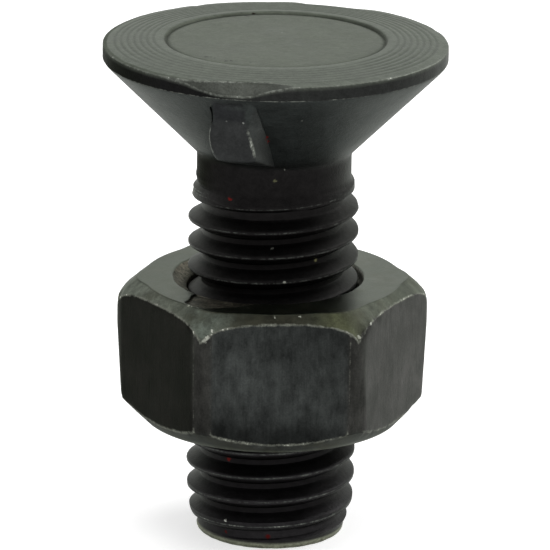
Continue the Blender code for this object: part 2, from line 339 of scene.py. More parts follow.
# Rolling folds the crest over where it isn't full, which leaves a seam that climbs away from it
seam = bump_at(off_crest - seam_rise(crest_at), 0.08)
seam *= smooth_step(23.6, 24.1, crest_at) * smooth_step(24.62, 24.2, crest_at)
radius -= 0.11 * seam
# Past the seam's end the crest runs into the neck without a step
slope = np.clip(1 - off_crest / np.interp(crest_at, [24.5, 25.1], [0.9, 0.45]), 0.0, 1.0)
joined = NECK_RADIUS + (crest_limit - NECK_RADIUS) * slope
radius += (joined - radius) * smooth_step(24.3, 24.55, crest_at) * (off_crest > 0.05)
# The end's rim is rounded, and the crests are nicked and wavy
end_share = np.clip((END_ROUND - height) / END_ROUND, 0.0, 1.0)
radius -= 0.12 * (1 - np.sqrt(1 - end_share ** 2))
radius -= 0.045 * bump_at(off_crest, 0.16) * dents(angle + height * 1.7, 22, 0.035, 9)
radius += 0.012 * bump_at(off_crest, 0.16) * waves(angle, (4, 7, 11, 19), 10)
shank[:, :2] *= (radius / before)[:, None]
move_points(thread, shank)
start_edit(thread, "SELECT")
bpy.ops.mesh.bisect(
    plane_co=(0, 0, THREAD_TOP * MM), plane_no=(0, 0, 1), clear_outer=True, threshold=0.0005 * MM
)
bpy.ops.mesh.select_all(action="SELECT")
bpy.ops.mesh.bisect(plane_co=(0, 0, 0), plane_no=(0, 0, -1), clear_outer=True, use_fill=True, threshold=0.0005 * MM)
end_edit()

select_only(thread, bolt)
bpy.ops.object.join()
start_edit(bolt, mode="EDGE")
bpy.ops.mesh.select_non_manifold(
    extend=False, use_wire=False, use_multi_face=False, use_non_contiguous=False, use_verts=False
)
bpy.ops.mesh.bridge_edge_loops()
bpy.ops.mesh.select_all(action="SELECT")
bpy.ops.mesh.normals_make_consistent(inside=False)
end_edit()

# The nib is forged with the head, a fin on the cone that keeps the bolt from turning in its hole. It has a
# shoulder under the rim, an upright pad worn bright at its edges, and flanks that widen to the cone.
NIB_TOP = 33.95
NIB_BREAK = 31.85
NIB_FOOT = 29.0
NIB_FOOT_SLOPE = 0.31
NIB_ROOT_FOOT = 27.6
NIB_BURIED = 3.0
NIB_EDGE_ROUND = 0.26
NIB_LAYER = 2.0
FOOT_ROUND_TOP = 29.4
FOOT_HALF_WIDTH = 1.35
NIB_RIGHT = [
    (1.84, 33.95), (1.80, 33.54), (1.60, 32.9), (1.40, 32.4), (1.17, 31.75), (1.28, 31.2), (1.46, 30.6),
    (1.60, 30.0), (1.66, 29.6), (1.62, 29.3), (1.44, 29.1), (1.1, 29.02), (0.4, 29.0),
]
NIB_LEFT = [
    (-0.5, 29.0), (-0.9, 29.05), (-1.15, 29.18), (-1.34, 29.5), (-1.5, 30.0), (-1.57, 30.6), (-1.55, 31.0),
    (-1.44, 31.5), (-1.3, 31.9), (-1.2, 32.6), (-1.15, 33.2), (-1.2, 33.95),
]


def nib_root(height, side):
    """How far to a side the nib's flank meets the cone. The right flank leans more than the left."""
    right = np.interp(height, [27.5, 28.5, 29.5, 31.4, 32.6, 33.6], [1.57, 1.66, 1.77, 1.87, 1.9, 1.87])
    left = np.interp(height, [27.5, 29.0, 30.0, 31.0, 32.0, 33.6], [1.55, 1.62, 1.66, 1.62, 1.42, 1.34])
    return side * np.where(side > 0, right, left)


def nib_face(height):
    """How far from the axis the nib's face lies: the pad leans out a little, and the shoulder more."""
    return np.interp(height, [NIB_FOOT, NIB_BREAK, LAND_BOTTOM], [10.23, 10.76, 11.5])


nib = draw_outline("nib", NIB_RIGHT + NIB_LEFT)
start_edit(nib, "SELECT")
bpy.ops.mesh.edge_face_add()
bpy.ops.mesh.inset(thickness=0.45 * MM)
for cut in np.arange(29.45, 33.9, 0.3):
    bpy.ops.mesh.select_all(action="SELECT")
    bpy.ops.mesh.bisect(plane_co=(0, 0, cut * MM), plane_no=(0, 0, 1))
bpy.ops.mesh.select_all(action="SELECT")
for _ in range(2):
    bpy.ops.mesh.extrude_region_move(TRANSFORM_OT_translate={"value": (0, NIB_LAYER * MM, 0)})
end_edit()
block = points_of(nib)
layer = np.round(block[:, 1] / NIB_LAYER).astype(int)
face_out = nib_face(block[:, 2])
share = (NIB_TOP - block[:, 2]) / (NIB_TOP - NIB_FOOT)
# The flanks run back to the cone, and the block goes on into the neck
root_height = block[:, 2] - share * (NIB_FOOT - NIB_ROOT_FOOT)
root_out = np.minimum(root_height - CONE_APEX, face_out - 0.35)
at_foot = block[:, 2] < FOOT_ROUND_TOP
side = np.where(at_foot, np.clip(block[:, 0] / FOOT_HALF_WIDTH, -1, 1), np.sign(block[:, 0]))
foot_height = np.where(at_foot, NIB_ROOT_FOOT, root_height)
root_out = np.where(at_foot, NIB_ROOT_FOOT - CONE_APEX, root_out)
block[:, 0] = np.where(layer > 0, nib_root(foot_height, side), block[:, 0])
block[:, 1] = -np.select([layer == 1, layer == 2], [root_out, NIB_BURIED], face_out)
block[:, 2] = np.where(layer > 0, foot_height, block[:, 2])
block[:, 2] -= np.where(layer == 2, share * NIB_FOOT_SLOPE * (root_out - NIB_BURIED), 0.0)
move_points(nib, block)
start_edit(nib, "SELECT")
bpy.ops.mesh.remove_doubles(threshold=0.01 * MM)
bpy.ops.mesh.normals_make_consistent(inside=False)
end_edit()
# Only the outline of the face is rounded
block = points_of(nib)
in_face = np.abs(block[:, 1] + nib_face(block[:, 2])) < 0.001
sides_in_face = np.zeros(len(nib.data.edges))
for polygon in nib.data.polygons:
    if in_face[list(polygon.vertices)].all():
        for loop in polygon.loop_indices:
            sides_in_face[nib.data.loops[loop].edge_index] += 1
weights = nib.data.attributes.new("bevel_weight_edge", "FLOAT", "EDGE")
weights.data.foreach_set("value", (sides_in_face == 1).astype(np.float32))
rounding = nib.modifiers.new("Edges", "BEVEL")
rounding.width = NIB_EDGE_ROUND * MM
rounding.segments = 4
rounding.limit_method = "WEIGHT"
apply_modifiers(nib)

union = bolt.modifiers.new("Nib", "BOOLEAN")
union.operation = "UNION"
union.solver = "EXACT"
union.object = nib
apply_modifiers(bolt)
bpy.data.objects.remove(nib, do_unlink=True)
# Where the nib meets the cone, faces of many sides can share two points without an edge between them. Cut here,
# they stay closed, while a plain cut at export would draw the same line through both.
start_edit(bolt, mode="FACE")
bpy.ops.mesh.select_face_by_sides(number=4, type="GREATER")
bpy.ops.mesh.quads_convert_to_tris(quad_method="BEAUTY", ngon_method="BEAUTY")
end_edit()


def linear(colour):
    """An sRGB hex colour as the linear values that a shader takes."""
    parts = [int(colour[i:i + 2], 16) / 255 for i in (1, 3, 5)]
    return tuple(p / 12.92 if p <= 0.04045 else ((p + 0.055) / 1.055) ** 2.4 for p in parts) + (1.0,)


def paint(base, *coats):
    """Brushes coats over the vertices' colours. Each is a share for every vertex, and a colour."""
    for share, colour in coats:
        share = np.clip(share, 0.0, 1.0)[:, None]
        base = base * (1 - share) + np.array(linear(colour)) * share
    return base


def keep_colours(piece, colours):
    """Keeps the vertices' colours as an attribute, for the material to read."""
    attribute = piece.data.attributes.new("oxide", "FLOAT_COLOR", "POINT")
    attribute.data.foreach_set("color", colours.astype(np.float32).ravel())


def keep_values(piece, **values):
    """Keeps each named value of the vertices as an attribute, for the material to read."""
    for name, value in values.items():
        attribute = piece.data.attributes.new(name, "FLOAT", "POINT")
        attribute.data.foreach_set("value", np.asarray(value, dtype=np.float32))


# Black oxide is a thin magnetite skin, so it takes its grey from the steel below: greyest on the pressed top,
# which is painted paler still to stand in for its reflection of the bright sky, and blackest on the neck and the
# thread, where it holds oil. Shade is painted into the hollows and onto sides that face left.
body = points_of(bolt)
radius, turned, height = around(body)
x = body[:, 0]
drop = facet_drop(turned)
rim_top = LAND_TOP - RIM_ROUND - drop
facet_edge = np.interp(turned, FACET_AT, FACET_EDGE, left=20, right=20)
on_head_top = height > 34.5
on_land = (radius > 11.5) & (height > LAND_BOTTOM + 0.02)
on_facet = (radius > facet_edge - 0.02) & (height > rim_top - 0.05) & (drop > 0.02)
off_face = np.abs(-body[:, 1] - nib_face(height))
below_land = height < LAND_BOTTOM - 0.05
on_nib = bump_at(off_face, 0.12) * (np.abs(x) < 1.75) * below_land * (height > 28.7)
near_nib = below_land * (height > 28.0) * (radius > height - CONE_APEX + 0.05)
right_flank = near_nib * (x > 0.9) * (x < 2.1)
left_flank = near_nib * (x > -2.1)
beside_shoulder = left_flank * (height > 31.7)

oxide = paint(
    np.tile(np.array(linear("#2b2e2d")), (len(body), 1)),
    # The neck, the lower thread and the rim of its end
    (smooth_step(28.4, 27.0, height), "#181717"),
    (smooth_step(19.0, 12.0, height), "#222122"),
    (smooth_step(0.5, 0.25, height) * (radius > 4.2), "#7a7d6d"),
    # The land, painted darker on the left as shade, then the top: paler as a painted reflection, with its facet, its
    # rings darkened in their bottoms as painted shade, and its recess with a painted shade line in its groove
    (on_land, "#242524"),
    (on_land * smooth_step(0.15, -0.15, turned) * smooth_step(-1.4, -1.0, turned), "#161616"),
    (smooth_step(-0.12, 0.05, height - rim_top) * (height > LAND_BOTTOM + 0.02), "#4b4f48"),
    (on_facet, "#3c3e3a"),
    (0.6 * ring_cut(radius) * (radius > RING_START) * (radius < RING_END) * (height > 34.6), "#2e312c"),
    ((height > RECESS_FLOOR - 0.1) & (radius < RECESS_RADIUS - 0.05), "#43473f"),
    (0.7 * bump_at(radius - RECESS_GROOVE, 0.14) * on_head_top, "#1a1c19"),
    # The nib's right flank, with painted shade low down by the cone, a line of painted shade beside the shoulder,
    # its left flank darkened as painted shade, its shoulder and its pad
    (right_flank * smooth_step(0.05, 0.2, off_face), "#303231"),
    (0.7 * right_flank * (off_face > 0.15) * smooth_step(30.8, 28.8, height), "#1c1d1e"),
    (beside_shoulder * smooth_step(-1.1, -1.2, x), "#0c0c0c"),
    (left_flank * (x < -1.4) * (off_face > 0.15), "#141515"),
    (on_nib * (np.abs(x) < 1.1) * (height > NIB_BREAK), "#222324"),
    (on_nib * smooth_step(NIB_BREAK + 0.05, NIB_BREAK - 0.05, height), "#2a2b2b"),
)

# Painted shade darkens the thread's grooves, and a painted sheen makes the thread lighter on the left
off_crest = above_crest(body)
crest_at = height - off_crest
in_groove = smooth_step(0.42, 0.6, np.abs(off_crest)) * (height > 1.3) * (height < 23.5)
oxide = paint(oxide, (in_groove * np.interp(height, [12, 18], [0.6, 0.65]), "#0b0a0a"))
oxide[:, :3] *= (1 + 1.1 * bump_at(turned + 1.15, 0.5) * (height > 12) * (height < 25))[:, None]
keep_colours(bolt, oxide)

# Where it is rubbed off: the thread's crests, seam and end, both edges of the land, the facet's upper edge and
# the pad's upright edges. The lines beside the seam are also a painted highlight on its ridges.
seam_wear_and_highlight = bump_at(np.abs(off_crest - seam_rise(crest_at)) - 0.11, 0.08)
seam_wear_and_highlight *= smooth_step(23.9, 24.1, crest_at) * smooth_step(24.5, 24.3, crest_at)
off_crest += 0.16 * smooth_step(23.9, 24.4, crest_at) + 0.1 * smooth_step(2.6, 1.9, height)
rubbed = np.interp(height, [1.7, 2.6, 18, 26], [1.3, 1.05, 1.05, 0.8]) * (height > 0.9) * (height < 25.2)
crest_wear = 1.3 * seam_wear_and_highlight + bump_at(off_crest, 0.075) * rubbed * (radius > 5.3)
upper_edge = np.hypot(radius - (HEAD_RADIUS - 0.03), height - (LAND_TOP - 0.05 - drop))
lower_edge = np.hypot(radius - 11.76, height - (LAND_BOTTOM + 0.03))
facet_line = 1.1 * bump_at(radius - facet_edge, 0.1) * (height > rim_top - 0.02) * (radius < HEAD_RADIUS - 0.06)
right_edge = np.interp(height, [z for _, z in reversed(NIB_RIGHT)], [side for side, _ in reversed(NIB_RIGHT)])
left_edge = np.interp(height, [z for _, z in NIB_LEFT], [side for side, _ in NIB_LEFT])
pad_right = np.hypot(x - right_edge + 0.07, off_face - 0.07)
pad_left = np.hypot(x - left_edge - 0.07, off_face - 0.07)
on_pad = smooth_step(29.2, 29.7, height) * smooth_step(NIB_BREAK, NIB_BREAK - 0.6, height)
pad_wear = (1.5 * bump_at(pad_right, 0.16) + 1.0 * bump_at(pad_left, 0.12)) * on_pad
pad_wear += 0.55 * bump_at(pad_right, 0.08) * smooth_step(NIB_BREAK, 32.2, height) * on_nib
edge_wear = np.maximum(bump_at(upper_edge, 0.13), facet_line) + 0.9 * bump_at(lower_edge, 0.06) + pad_wear

# Where painted shade takes the sheen down: round the recess, along the nib's left side and on the left of the neck
# and land
to_left = smooth_step(0.1, -0.25, turned) * smooth_step(-2.2, -1.7, turned)
on_neck = smooth_step(28.4, 27.6, height) * smooth_step(24.9, 25.3, height)
dull = 0.3 * bump_at(radius - RECESS_GROOVE, 0.16) * on_head_top
dull = np.maximum(dull, 0.8 * beside_shoulder * smooth_step(-1.05, -1.15, x))
dull = np.maximum(dull, 0.5 * to_left * np.maximum(on_land, on_neck))
keep_values(
    bolt, crest_wear=crest_wear, edge_wear=np.clip(edge_wear, 0, 1.2), end_wear=smooth_step(0.5, 0.12, height),
    dull=dull,
)


def add(tree, kind, inputs=None, take=0, **settings):
    """Adds one node with its settings and its inputs, each a value or a socket, and gives the output `take`."""
    node = tree.nodes.new(kind)
    for name, value in settings.items():
        setattr(node, name, value)
    for name, value in (inputs or {}).items():
        if isinstance(value, bpy.types.NodeSocket):
            tree.links.new(value, node.inputs[name])
        else:
            node.inputs[name].default_value = value
    return node.outputs[take] if node.outputs else None


def bare_material(name):
    """A new material without nodes."""
    material = bpy.data.materials.new(name)
    material.use_nodes = True
    material.node_tree.nodes.clear()
    return material


# Black oxide on forged steel: a smooth, faintly green black with soft highlights. Fine grain from the die,
# cloudy patches of oil, thin grey rubs with a few bright points along the edges.
black_oxide = bare_material("Black_oxide_on_forged_steel")
tree = black_oxide.node_tree
place = add(tree, "ShaderNodeTexCoord", take="Object")
mm = add(tree, "ShaderNodeVectorMath", {0: place, "Scale": 1 / MM}, operation="SCALE")
patch = add(tree, "ShaderNodeTexNoise", {"Vector": mm, "Scale": 1 / 2.4, "Detail": 5.0, "Roughness": 0.55})
grain = add(tree, "ShaderNodeTexNoise", {"Vector": mm, "Scale": 1 / 0.13, "Detail": 3.0, "Roughness": 0.6})
pitting = add(tree, "ShaderNodeTexNoise", {"Vector": mm, "Scale": 1 / 0.55, "Detail": 4.0, "Roughness": 0.7})
cloud = add(
    tree, "ShaderNodeMapRange", {"Value": patch, "From Min": 0.3, "From Max": 0.7, "To Min": 0.84, "To Max": 1.2}
)
fleck = add(
    tree, "ShaderNodeMapRange", {"Value": grain, "From Min": 0.3, "From Max": 0.75, "To Min": 0.86, "To Max": 1.22}
)
blotch = add(
    tree, "ShaderNodeMapRange", {"Value": pitting, "From Min": 0.3, "From Max": 0.7, "To Min": 0.8, "To Max": 1.22}
)
level = add(tree, "ShaderNodeMath", {0: cloud, 1: fleck}, operation="MULTIPLY")
level = add(tree, "ShaderNodeMath", {0: level, 1: blotch}, operation="MULTIPLY")
colour = add(tree, "ShaderNodeAttribute", take="Color", attribute_name="oxide")
colour = add(tree, "ShaderNodeVectorMath", {0: colour, "Scale": level}, operation="SCALE")


def rub_off(tree, colour, mm, wide, fine, places):
    """Bares the steel where a place's wear is high, broken up by two noises of these widths in mm.

    A place is its attribute, then tints with the wear at which each starts and is full.
    """
    rub = add(tree, "ShaderNodeTexNoise", {"Vector": mm, "Scale": 1 / wide, "Detail": 5.0, "Roughness": 0.75})
    rub_fine = add(tree, "ShaderNodeTexNoise", {"Vector": mm, "Scale": 1 / fine, "Detail": 3.0, "Roughness": 0.7})
    uneven_rub = add(tree, "ShaderNodeMath", {0: rub, 1: rub_fine}, operation="MULTIPLY")
    for name, *tints in places:
        wear = add(tree, "ShaderNodeAttribute", take="Fac", attribute_name=name)
        bare = add(tree, "ShaderNodeMath", {0: wear, 1: uneven_rub}, operation="MULTIPLY")
        for tint, start, full in tints:
            share = add(tree, "ShaderNodeMapRange", {"Value": bare, "From Min": start, "From Max": full})
            colour = add(tree, "ShaderNodeMix", {0: share, 6: colour, 7: linear(tint)}, take=2, data_type="RGBA")
    return colour


def dab(tree, colour, mm, spots, waviness, ragged, core):
    """Dabs spots on a colour, each with its place and size in mm and its tint.

    A noise of this waviness shifts their edges by up to half of `ragged`, and a spot is full within its core.
    """
    stray = add(tree, "ShaderNodeTexNoise", {"Vector": mm, "Scale": waviness, "Detail": 3.0}, take="Color")
    stray = add(tree, "ShaderNodeVectorMath", {0: stray, 1: (ragged,) * 3, 2: mm}, operation="MULTIPLY_ADD")
    for place, size, tint in spots:
        middle = tuple(p + ragged / 2 for p in place)
        distance = add(tree, "ShaderNodeVectorMath", {0: stray, 1: middle}, take="Value", operation="DISTANCE")
        spot = add(tree, "ShaderNodeMapRange", {"Value": distance, "From Min": size, "From Max": size * core})
        colour = add(tree, "ShaderNodeMix", {0: spot, 6: colour, 7: linear(tint)}, take=2, data_type="RGBA")
    return colour


# The crests' wear also carries the painted highlight beside the seam
colour = rub_off(tree, colour, mm, 1.3, 0.22, (
    ("end_wear", ("#55574a", 0.13, 0.3), ("#85877a", 0.37, 0.42)),
    ("crest_wear", ("#4c4f4b", 0.17, 0.32), ("#9ea198", 0.36, 0.41)),
    ("edge_wear", ("#62655f", 0.15, 0.29), ("#b4b7ae", 0.34, 0.39)),
))

SPECKS = [
    # Nicks in the head's top, with dirt in them
    ((-4.35, 6.34, 34.9), 0.16, "#120d0b"), ((-3.8, 5.95, 34.9), 0.24, "#120d0b"),
    ((-3.5, 6.6, 34.9), 0.13, "#120d0b"), ((-3.23, -5.68, 34.88), 0.2, "#151312"),
    ((-2.87, -5.7, 34.88), 0.1, "#151312"), ((-2.54, -5.87, 34.88), 0.15, "#151312"),
    ((-1.61, -6.39, 34.88), 0.14, "#151312"), ((-1.33, -6.16, 34.88), 0.16, "#151312"),
    ((-0.02, -6.13, 34.88), 0.1, "#151312"),
    # Pale specks on the head's top and the facet
    ((-6.71, -2.62, 34.95), 0.1, "#8e9189"), ((-0.22, 2.28, 34.88), 0.08, "#8e9189"),
    ((0.74, -11.45, 33.97), 0.13, "#d0d2cb"), ((1.92, -11.04, 34.1), 0.1, "#c0c2bb"),
    # Pale and olive specks on the nib, the cone, the neck and the thread
    ((-0.23, -10.79, 32.0), 0.09, "#70726e"), ((0.93, -10.77, 31.95), 0.08, "#6e706c"),
    ((4.45, -8.99, 31.95), 0.08, "#6c6e69"), ((2.09, -4.92, 27.32), 0.09, "#5f605a"),
    ((1.52, -5.07, 26.47), 0.14, "#4a4a38"), ((1.4, -4.95, 21.68), 0.13, "#90928a"),
    ((3.89, -3.02, 20.52), 0.15, "#57553c"), ((2.33, -5.35, 19.5), 0.12, "#7d7f77"),
    ((-1.65, -5.42, 1.96), 0.12, "#a9aba3"),
    # Red paint
    ((1.8, -8.3, 30.4), 0.2, "#671b18"), ((1.82, -7.9, 30.0), 0.16, "#671b18"),
    ((-1.6, -5.15, 24.93), 0.17, "#5a1714"), ((-1.64, -4.64, 6.15), 0.15, "#4f1512"),
    ((-1.78, -4.73, 0.83), 0.15, "#431311"), ((1.29, -4.88, 0.86), 0.2, "#431311"),
]
colour = dab(tree, colour, mm, SPECKS, 4.0, 0.36, 0.55)

rough = add(
    tree, "ShaderNodeMapRange", {"Value": patch, "From Min": 0.3, "From Max": 0.7, "To Min": 0.48, "To Max": 0.56}
)
skin = add(tree, "ShaderNodeMath", {0: pitting, 1: 1.6, 2: grain}, operation="MULTIPLY_ADD")
relief = add(tree, "ShaderNodeBump", {"Height": skin, "Strength": 0.7, "Distance": 0.02 * MM})
# The specular tint falls where painted shade takes the sheen down
dull = add(tree, "ShaderNodeAttribute", take="Fac", attribute_name="dull")
sheen = add(tree, "ShaderNodeMix", {0: dull, 6: linear("#f1f4ef"), 7: linear("#5c5c58")}, take=2, data_type="RGBA")
surface = add(
    tree, "ShaderNodeBsdfPrincipled",
    {"Base Color": colour, "Roughness": rough, "Normal": relief, "Metallic": 1.0, "Specular Tint": sheen},
)
add(tree, "ShaderNodeOutputMaterial", {"Surface": surface})


def finish(piece, material):
    """Gives a finished piece its material, and smooths it up to its real edges."""
    piece.data.materials.clear()
    piece.data.materials.append(material)
    select_only(piece)
    bpy.ops.object.shade_smooth_by_angle(angle=math.radians(35))


finish(bolt, black_oxide)
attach(bolt, "bolt")
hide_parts("plow_bolt")

# The nut. An M12 steel nut, 19 mm across flats: a slug of steel bar pressed into a hexagon, chamfered at both
# ends and tapped right-hand, then blackened. It is screwed half way up the bolt.

NUT_FOOT = 8.35
NUT_TOP = 18.15
NUT_MIDDLE = 13.0
FLAT_RADIUS = 9.45
CORNER_ROUND = 1.3
CORNER_LIMIT = 10.71
FACE_RADIUS = 8.9
BORE_RADIUS = 5.94
MOUTH_RADIUS = 6.6
MOUTH_ASIDE = 0.33
NUT_TURN = math.radians(19.4)
SLUG_RADIUS = 11.0
CHAMFER_REACH = SLUG_RADIUS - FACE_RADIUS
SIDE_TOP = NUT_TOP - CHAMFER_REACH
SIDE_FOOT = 9.6
SIXTH = math.pi / 3
TAP_START = math.radians(-30.5)
DEEP_NICK_AT = math.radians(51.5)

nut_outline = [(BORE_RADIUS, float(z)) for z in np.arange(8.9, 17.4, 0.5)]
nut_outline += [(BORE_RADIUS + 0.62 * share, 17.5 + 0.58 * share) for share in np.linspace(0.0, 1.0, 8)]
nut_outline += [(MOUTH_RADIUS, 18.12), (6.68, NUT_TOP)]
nut_outline += [(float(r), NUT_TOP) for r in np.arange(6.76, 8.8, 0.09)]
for share in (0.0, 0.12, 0.3, 0.5, 0.7, 0.88, 1.0):
    nut_outline.append((FACE_RADIUS + CHAMFER_REACH * share, NUT_TOP - CHAMFER_REACH * share))
nut_outline += [(SLUG_RADIUS, float(z)) for z in (16.0, 15.93, 15.8, *np.linspace(15.6, 9.8, 22), 9.7, 9.64)]
nut_outline += [(SLUG_RADIUS, SIDE_FOOT), (10.3, 9.15), (9.6, 8.75), (FACE_RADIUS, NUT_FOOT)]
nut_outline += [(float(r), NUT_FOOT) for r in np.linspace(8.6, 6.9, 6)]
nut_outline += [(MOUTH_RADIUS, NUT_FOOT), (6.35, 8.58), (BORE_RADIUS, 8.9)]
nut = turn(draw_outline("black_nut", nut_outline), 360)


def hexagon(turned):
    """The hexagon's radius at an angle, with its corners rounded, and the distance from the middle of the flat."""
    off = (turned - NUT_TURN) / SIXTH
    off = (off - np.round(off)) * SIXTH
    along = FLAT_RADIUS * np.tan(np.abs(off))
    middle = (FLAT_RADIUS - CORNER_ROUND) / math.cos(SIXTH / 2)
    aside = SIXTH / 2 - np.abs(off)
    corner = middle * np.cos(aside) + np.sqrt(np.maximum(CORNER_ROUND ** 2 - (middle * np.sin(aside)) ** 2, 0.0))
    on_flat = along < (FLAT_RADIUS - CORNER_ROUND) * math.tan(SIXTH / 2)
    return np.where(on_flat, FLAT_RADIUS / np.cos(off), corner), along


# The forged chamfer's depth, by the distance from a flat's middle: it dips fast at the corners
CHAMFER_ALONG = [0, 2, 2.7, 3.5, 4, 4.5, 5, 5.3, 5.46]
CHAMFER_DEPTH = [0.55, 0.58, 0.66, 0.77, 0.9, 1.08, 1.36, 1.66, 1.9]


def edge_heights(limit, along):
    """The heights at which the top chamfer and the foot's turned one cut the hexagon."""
    top = NUT_TOP - np.interp(along, CHAMFER_ALONG, CHAMFER_DEPTH)
    return top, np.interp(limit, [FACE_RADIUS, FLAT_RADIUS, 10.43, SLUG_RADIUS], [NUT_FOOT, 9.0, 9.62, 9.9])


# How many degrees round from its start the torn ledge reaches, and how wide it is there
LEDGE_AT = [-0.6, 0.3, 4, 9, 13, 18, 28, 40]
LEDGE_WIDTH = [0, 0.6, 2.1, 2.2, 2.15, 1.7, 1.1, 0]

blank = points_of(nut)
radius, turned, height = around(blank)
# Pressed to the hexagon, with the lower corners a little tapered
limit, along = hexagon(turned)
limit = np.minimum(limit, CORNER_LIMIT - np.interp(height, [SIDE_FOOT, 14.6], [0.28, 0.0]))
face_reach = FACE_RADIUS + 0.45 * smooth_step(2.5, 5.2, along) * (height > NUT_MIDDLE)
share = np.clip((radius - FACE_RADIUS) / CHAMFER_REACH, 0.0, 1.0)
pressed = radius + (face_reach - FACE_RADIUS) * smooth_step(7.6, FACE_RADIUS, radius)
pressed = np.where(radius > FACE_RADIUS, face_reach + share * (limit - face_reach), pressed)
top_edge, foot_edge = edge_heights(limit, along)
on_side = radius > SLUG_RADIUS - 0.01
on_chamfer = (radius > FACE_RADIUS + 0.01) & ~on_side
level = np.clip((height - SIDE_FOOT) / (SIDE_TOP - SIDE_FOOT), 0.0, 1.0)
shaped = np.where(on_side, foot_edge + level * (top_edge - foot_edge), height)
# The corners' tips are struck down a little more than the chamfer
tip_drop = np.clip(NUT_TOP - top_edge - 1.15, 0.0, None)
chamfer_drop = (NUT_TOP - top_edge - tip_drop) * share + tip_drop * smooth_step(0.35, 1.0, share) ** 2
shaped = np.where(on_chamfer & (height > NUT_MIDDLE), NUT_TOP - chamfer_drop, shaped)
shaped = np.where(on_chamfer & (height < NUT_MIDDLE), NUT_FOOT + share * (foot_edge - NUT_FOOT), shaped)
# The tap went in a little aside, and its first turn tore a ledge into the top face, deepest where it starts
torn = np.degrees(turn_from(TAP_START, turned))
ledge_width = np.interp(torn, LEDGE_AT, LEDGE_WIDTH)
ledge = smooth_step(0.08, -0.08, radius - MOUTH_RADIUS - ledge_width) * (ledge_width > 0.02)
ledge *= (radius > MOUTH_RADIUS - 0.02) * (radius < FACE_RADIUS) * (height > 18)
shaped -= ledge * np.interp(torn, [0, 12, 40], [0.1, 0.06, 0.02])
at_top = height > 17
aside = MOUTH_ASIDE * at_top * smooth_step(BORE_RADIUS + 0.05, MOUTH_RADIUS, radius) * smooth_step(8.2, 6.8, radius)
ragged = 0.06 * waves(turned, (5, 11, 17, 29), 23) * bump_at(radius - MOUTH_RADIUS, 0.3) * at_top
# Handling has bruised the hexagon's edges, most at the front right, where one corner has a deep nick
bruise = 0.5 + 0.5 * waves(turned, (13, 23, 37, 53), 21)
chip = dents(turned, 26, 0.018, 22)
near_top = bump_at(shaped - top_edge, 0.2) * (pressed > limit - 0.2)
near_foot = bump_at(shaped - foot_edge, 0.2) * (pressed > limit - 0.2)
pressed -= (near_top + near_foot) * (0.01 + 0.03 * bruise + 0.03 * chip)
pressed -= 0.2 * bump_at(turned - DEEP_NICK_AT, 0.03) * bump_at(shaped - 16.9, 0.3) * (pressed > limit - 0.4)
shaped += (near_foot - near_top) * (0.045 * bruise + 0.08 * chip) * (1 + 0.8 * bump_at(turned - 1.0, 0.35))
blank[:, :2] *= ((pressed + ragged) / radius)[:, None]
blank[:, 0] -= aside
blank[:, 2] = shaped
move_points(nut, blank)
rounding = nut.modifiers.new("Edges", "BEVEL")
rounding.width = 0.05 * MM
rounding.segments = 2
rounding.limit_method = "ANGLE"
rounding.angle_limit = math.radians(30)
rounding.use_clamp_overlap = True
apply_modifiers(nut)

# The six flats took the oxide unevenly, from a brown black to a blue grey, and the front one is paler where it is
# handled. The corners are one dark grey, and the ends a greener one.
FLAT_COLOURS = ["#292b2a", "#353433", "#262829", "#23211f", "#2b2d2e", "#131211"]
FRONT_FLAT = 0
DARK_FLAT = 5
shape = points_of(nut)
radius, turned, height = around(shape)
limit, along = hexagon(turned)
limit = np.minimum(limit, CORNER_LIMIT)
top_edge, foot_edge = edge_heights(limit, along)
half_flat = FLAT_RADIUS * math.tan(SIXTH / 2)
flank = (height < top_edge - 0.03) & (height > foot_edge + 0.03) & (radius > 9.2)
from_mouth = np.hypot(shape[:, 0] + MOUTH_ASIDE, shape[:, 1])
top_ring = (height > NUT_TOP - 0.06) & (radius < 9.35)
on_chamfer = ~flank & (height > 15) & (height < NUT_TOP - 0.04) & (radius > FACE_RADIUS)
on_foot = ~flank & (height < 12) & (height > NUT_FOOT + 0.03)
in_mouth = (from_mouth < MOUTH_RADIUS + 0.05) & (height > 15) & (height < NUT_TOP - 0.04)
on_ledge = (height > 17) & (height < NUT_TOP - 0.015) & (from_mouth > MOUTH_RADIUS + 0.1) & (radius < 8.8)

which = np.round((turned - NUT_TURN) / SIXTH).astype(int) % 6
oxide = np.array([linear(flat_colour) for flat_colour in FLAT_COLOURS])[which]
across = FLAT_RADIUS * np.tan(np.clip(turned - NUT_TURN, -0.6, 0.6))
front_light = 1 + 0.6 * bump_at(across + 1.9, 3.2) * bump_at(height - 13.9, 2.3) - 0.5 * smooth_step(11.2, 9.7, height)
oxide[:, :3] *= np.where(which == FRONT_FLAT, front_light, 1.0)[:, None]
oxide = paint(
    oxide,
    (smooth_step(half_flat - 1.05, half_flat - 0.65, along), "#2a2a28"),
    (~flank, "#464941"),
    (~flank & top_ring, "#2d3029"),
    # The chamfer: painted shade in front, below the bolt, pale at the front left, stained at the right corner, and grey
    # at both sides, the right side painted darker as shade
    (on_chamfer * bump_at(turned - 0.3, 0.55), "#25251f"),
    (on_chamfer * bump_at(turned - math.radians(-12), 0.15), "#4f554e"),
    (on_chamfer * 0.75 * bump_at(turned - math.radians(43), 0.13), "#484b36"),
    (on_chamfer * bump_at(turned - math.radians(85), 0.4), "#373a33"),
    (on_chamfer * bump_at(turned + math.radians(55), 0.5), "#51554d"),
    (on_foot, "#2b2c2a"),
    # The mouth, paler on the right, and the torn ledge
    (in_mouth, "#4b4840"),
    (in_mouth * smooth_step(2.0, 5.0, shape[:, 0]), "#6b6a64"),
    (on_ledge, "#403d36"),
)
keep_colours(nut, oxide)

